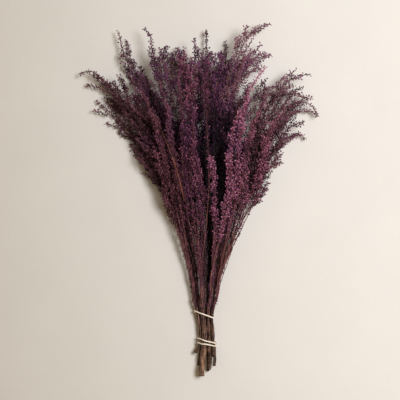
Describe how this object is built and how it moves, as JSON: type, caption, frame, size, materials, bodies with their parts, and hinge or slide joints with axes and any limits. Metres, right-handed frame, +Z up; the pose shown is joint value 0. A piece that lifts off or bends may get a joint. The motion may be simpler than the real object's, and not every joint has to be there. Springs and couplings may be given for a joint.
{
  "type": "preserved stoebe bunch",
  "caption": "Tied bunch of preserved stoebe lying on its side: woody stems in rubber bands fan out into knobby purple plumes.",
  "frame": {"origin": "on the surface that the bunch lies on, under the middle of its outline", "axes": "+Y from the cut ends towards the plume tips, +Z up from the surface, +X to the right seen from above"},
  "size_m": [0.4115, 0.5975, 0.1006],
  "materials": {
    "foliage_dark": "dry, matt, dyed dark purple",
    "foliage_violet": "dry, matt, dyed violet",
    "foliage_mauve": "dry, matt, dyed mauve pink",
    "band_rubber": "matt, cream"
  },
  "bodies": {
    "root": {"leafy_stem_low_left": "foliage_dark", "leafy_stem_low_left_of_centre": "foliage_dark", "leafy_stem_low_right_of_centre": "foliage_dark", "leafy_stem_low_right": "foliage_dark", "leafy_stem_middle_left": "foliage_violet", "leafy_stem_middle_left_of_centre": "foliage_violet", "leafy_stem_middle_right_of_centre": "foliage_violet", "leafy_stem_middle_right": "foliage_violet", "leafy_stem_front_left": "foliage_mauve", "leafy_stem_front_centre": "foliage_mauve", "leafy_stem_front_right_of_centre": "foliage_mauve", "leafy_stem_front_right": "foliage_mauve", "rubber_band_upper": "band_rubber", "rubber_band_lower": "band_rubber"}
  },
  "joints": []
}
